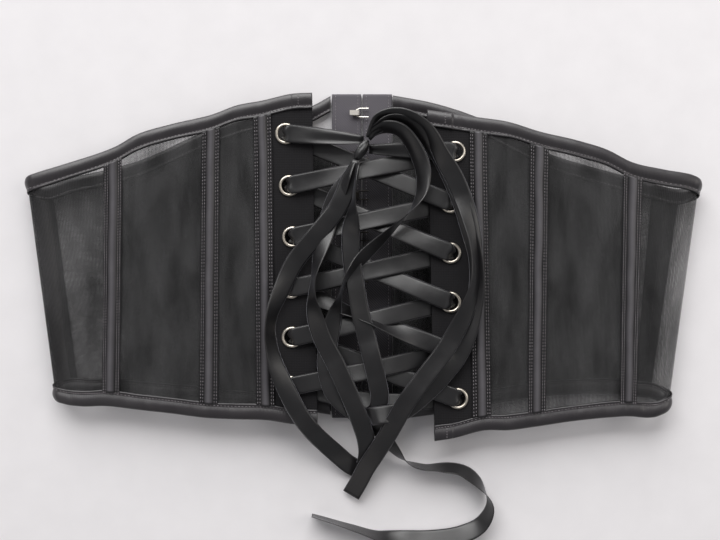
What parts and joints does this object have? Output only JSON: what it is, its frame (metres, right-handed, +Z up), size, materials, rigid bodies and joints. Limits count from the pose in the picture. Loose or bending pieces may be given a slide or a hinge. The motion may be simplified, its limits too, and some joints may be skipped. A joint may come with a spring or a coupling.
{
  "type": "laced corset belt",
  "caption": "Sheer boned corset belt lying flattened, with bound edges, eyelets laced by satin ribbon in a long bow, and a hook and eye fastening on its lower layer.",
  "frame": {"origin": "under the middle of the belt's box, without the bow's free ribbon, on the surface it lies on", "axes": "+X from the left side fold to the right one, +Y towards the belt's top edge, +Z up, with the laced side up"},
  "size_m": [0.3696, 0.2504, 0.0222],
  "materials": {
    "net": "sheer black net",
    "binding_satin": "folded black satin binding",
    "channel_satin": "black satin boning tape, topstitched",
    "placket_cloth": "doubled black cloth",
    "twill_tape": "black twill tape",
    "ribbon_satin": "double-faced black satin ribbon",
    "eyelet_nickel": "polished nickel plate",
    "hook_nickel": "nickel-plated wire and strip"
  },
  "bodies": {
    "root": {"net_front_left": "net", "net_side_left": "net", "net_back_left": "net", "net_front_right": "net", "net_side_right": "net", "net_back_right": "net", "binding_top_left": "binding_satin", "binding_bottom_left": "binding_satin", "binding_top_right": "binding_satin", "binding_bottom_right": "binding_satin", "placket_left": "placket_cloth", "placket_right": "placket_cloth", "channel_inner_left": "channel_satin", "channel_middle_left": "channel_satin", "channel_outer_left": "channel_satin", "channel_inner_right": "channel_satin", "channel_middle_right": "channel_satin", "channel_outer_right": "channel_satin", "side_band_left": "placket_cloth", "side_band_right": "placket_cloth", "eyelet_left_1": "eyelet_nickel", "eyelet_left_2": "eyelet_nickel", "eyelet_left_3": "eyelet_nickel", "eyelet_left_4": "eyelet_nickel", "eyelet_left_5": "eyelet_nickel", "eyelet_left_6": "eyelet_nickel", "eyelet_right_1": "eyelet_nickel", "eyelet_right_2": "eyelet_nickel", "eyelet_right_3": "eyelet_nickel", "eyelet_right_4": "eyelet_nickel", "eyelet_right_5": "eyelet_nickel", "eyelet_right_6": "eyelet_nickel", "hook_tape": "twill_tape", "eye_tape": "twill_tape", "hook_1": "hook_nickel", "eye_1": "hook_nickel", "hook_2": "hook_nickel", "eye_2": "hook_nickel", "hook_3": "hook_nickel", "eye_3": "hook_nickel", "hook_4": "hook_nickel", "eye_4": "hook_nickel", "hook_5": "hook_nickel", "eye_5": "hook_nickel", "hook_6": "hook_nickel", "eye_6": "hook_nickel", "hook_7": "hook_nickel", "eye_7": "hook_nickel", "hook_8": "hook_nickel", "eye_8": "hook_nickel", "lacing": "ribbon_satin", "knot": "ribbon_satin", "bow_tail_long": "ribbon_satin", "bow_tail_curled": "ribbon_satin", "bow_loop_left": "ribbon_satin", "bow_loop_right": "ribbon_satin"}
  },
  "joints": []
}
